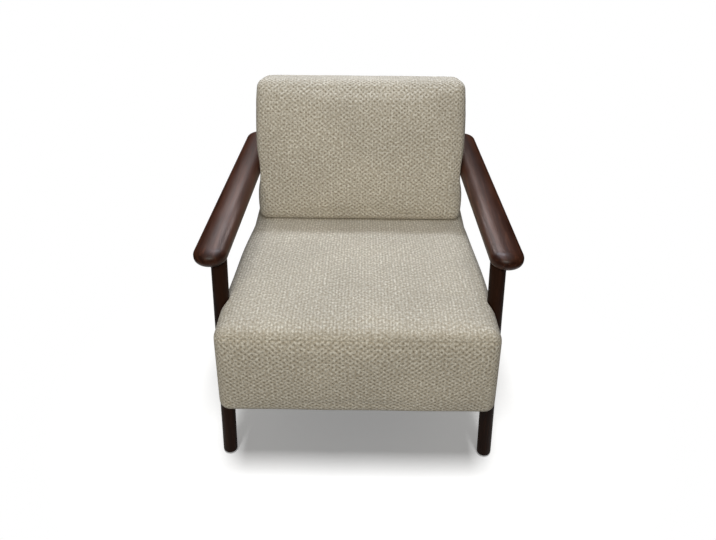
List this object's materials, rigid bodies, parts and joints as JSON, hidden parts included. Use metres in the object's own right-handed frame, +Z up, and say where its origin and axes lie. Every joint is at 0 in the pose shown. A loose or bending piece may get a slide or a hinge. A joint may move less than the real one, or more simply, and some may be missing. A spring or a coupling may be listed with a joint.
{
  "type": "fireside chair",
  "caption": "Upholstered lounge chair with a deep padded seat block, a reclined padded back, round splayed wooden legs and thick rounded wooden armrests.",
  "frame": {"origin": "on the floor, under the middle of the chair's overall box", "axes": "+X to the right of someone who looks at the chair's front, +Y from the front edge of the seat to the back, +Z up from the floor"},
  "size_m": [0.6754, 0.7759, 0.7902],
  "materials": {
    "dark_wood": "solid hardwood, dark walnut stain under a satin lacquer",
    "woven_cover": "coarse woven upholstery cloth in a mixed grey-beige yarn, matt",
    "frame_wood": "plain sawn and planed hardwood",
    "foam": "upholstery foam, matt",
    "webbing": "elastic webbing, matt",
    "under_cloth": "thin black non-woven cloth",
    "steel": "zinc-plated steel",
    "glide_nylon": "moulded black nylon"
  },
  "bodies": {
    "root": {"back_cover": "woven_cover", "back_foam": "foam", "back_left_post": "frame_wood", "back_lower_rail": "frame_wood", "back_right_post": "frame_wood", "back_strap_1": "webbing", "back_strap_2": "webbing", "back_strap_3": "webbing", "back_top_rail": "frame_wood", "front_left_corner_block": "frame_wood", "front_left_glide": "glide_nylon", "front_left_leg": "dark_wood", "front_left_leg_lower_bolt": "steel", "front_left_leg_lower_insert": "steel", "front_left_leg_upper_bolt": "steel", "front_left_leg_upper_insert": "steel", "front_right_corner_block": "frame_wood", "front_right_glide": "glide_nylon", "front_right_leg": "dark_wood", "front_right_leg_lower_bolt": "steel", "front_right_leg_lower_insert": "steel", "front_right_leg_upper_bolt": "steel", "front_right_leg_upper_insert": "steel", "left_arm_dowel": "frame_wood", "left_arm_front_bolt": "steel", "left_arm_front_insert": "steel", "left_arm_rear_bolt": "steel", "left_arm_rear_insert": "steel", "left_armrest": "dark_wood", "rear_left_corner_block": "frame_wood", "rear_left_glide": "glide_nylon", "rear_left_leg": "dark_wood", "rear_left_leg_insert": "steel", "rear_left_leg_stud": "steel", "rear_right_corner_block": "frame_wood", "rear_right_glide": "glide_nylon", "rear_right_leg": "dark_wood", "rear_right_leg_insert": "steel", "rear_right_leg_stud": "steel", "right_arm_dowel": "frame_wood", "right_arm_front_bolt": "steel", "right_arm_front_insert": "steel", "right_arm_rear_bolt": "steel", "right_arm_rear_insert": "steel", "right_armrest": "dark_wood", "seat_cover": "woven_cover", "seat_cross_strap_1": "webbing", "seat_cross_strap_2": "webbing", "seat_cross_strap_3": "webbing", "seat_dust_cover": "under_cloth", "seat_foam": "foam", "seat_front_rail": "frame_wood", "seat_left_rail": "frame_wood", "seat_rear_rail": "frame_wood", "seat_right_rail": "frame_wood", "seat_strap_1": "webbing", "seat_strap_2": "webbing", "seat_strap_3": "webbing", "seat_strap_4": "webbing"}
  },
  "joints": []
}
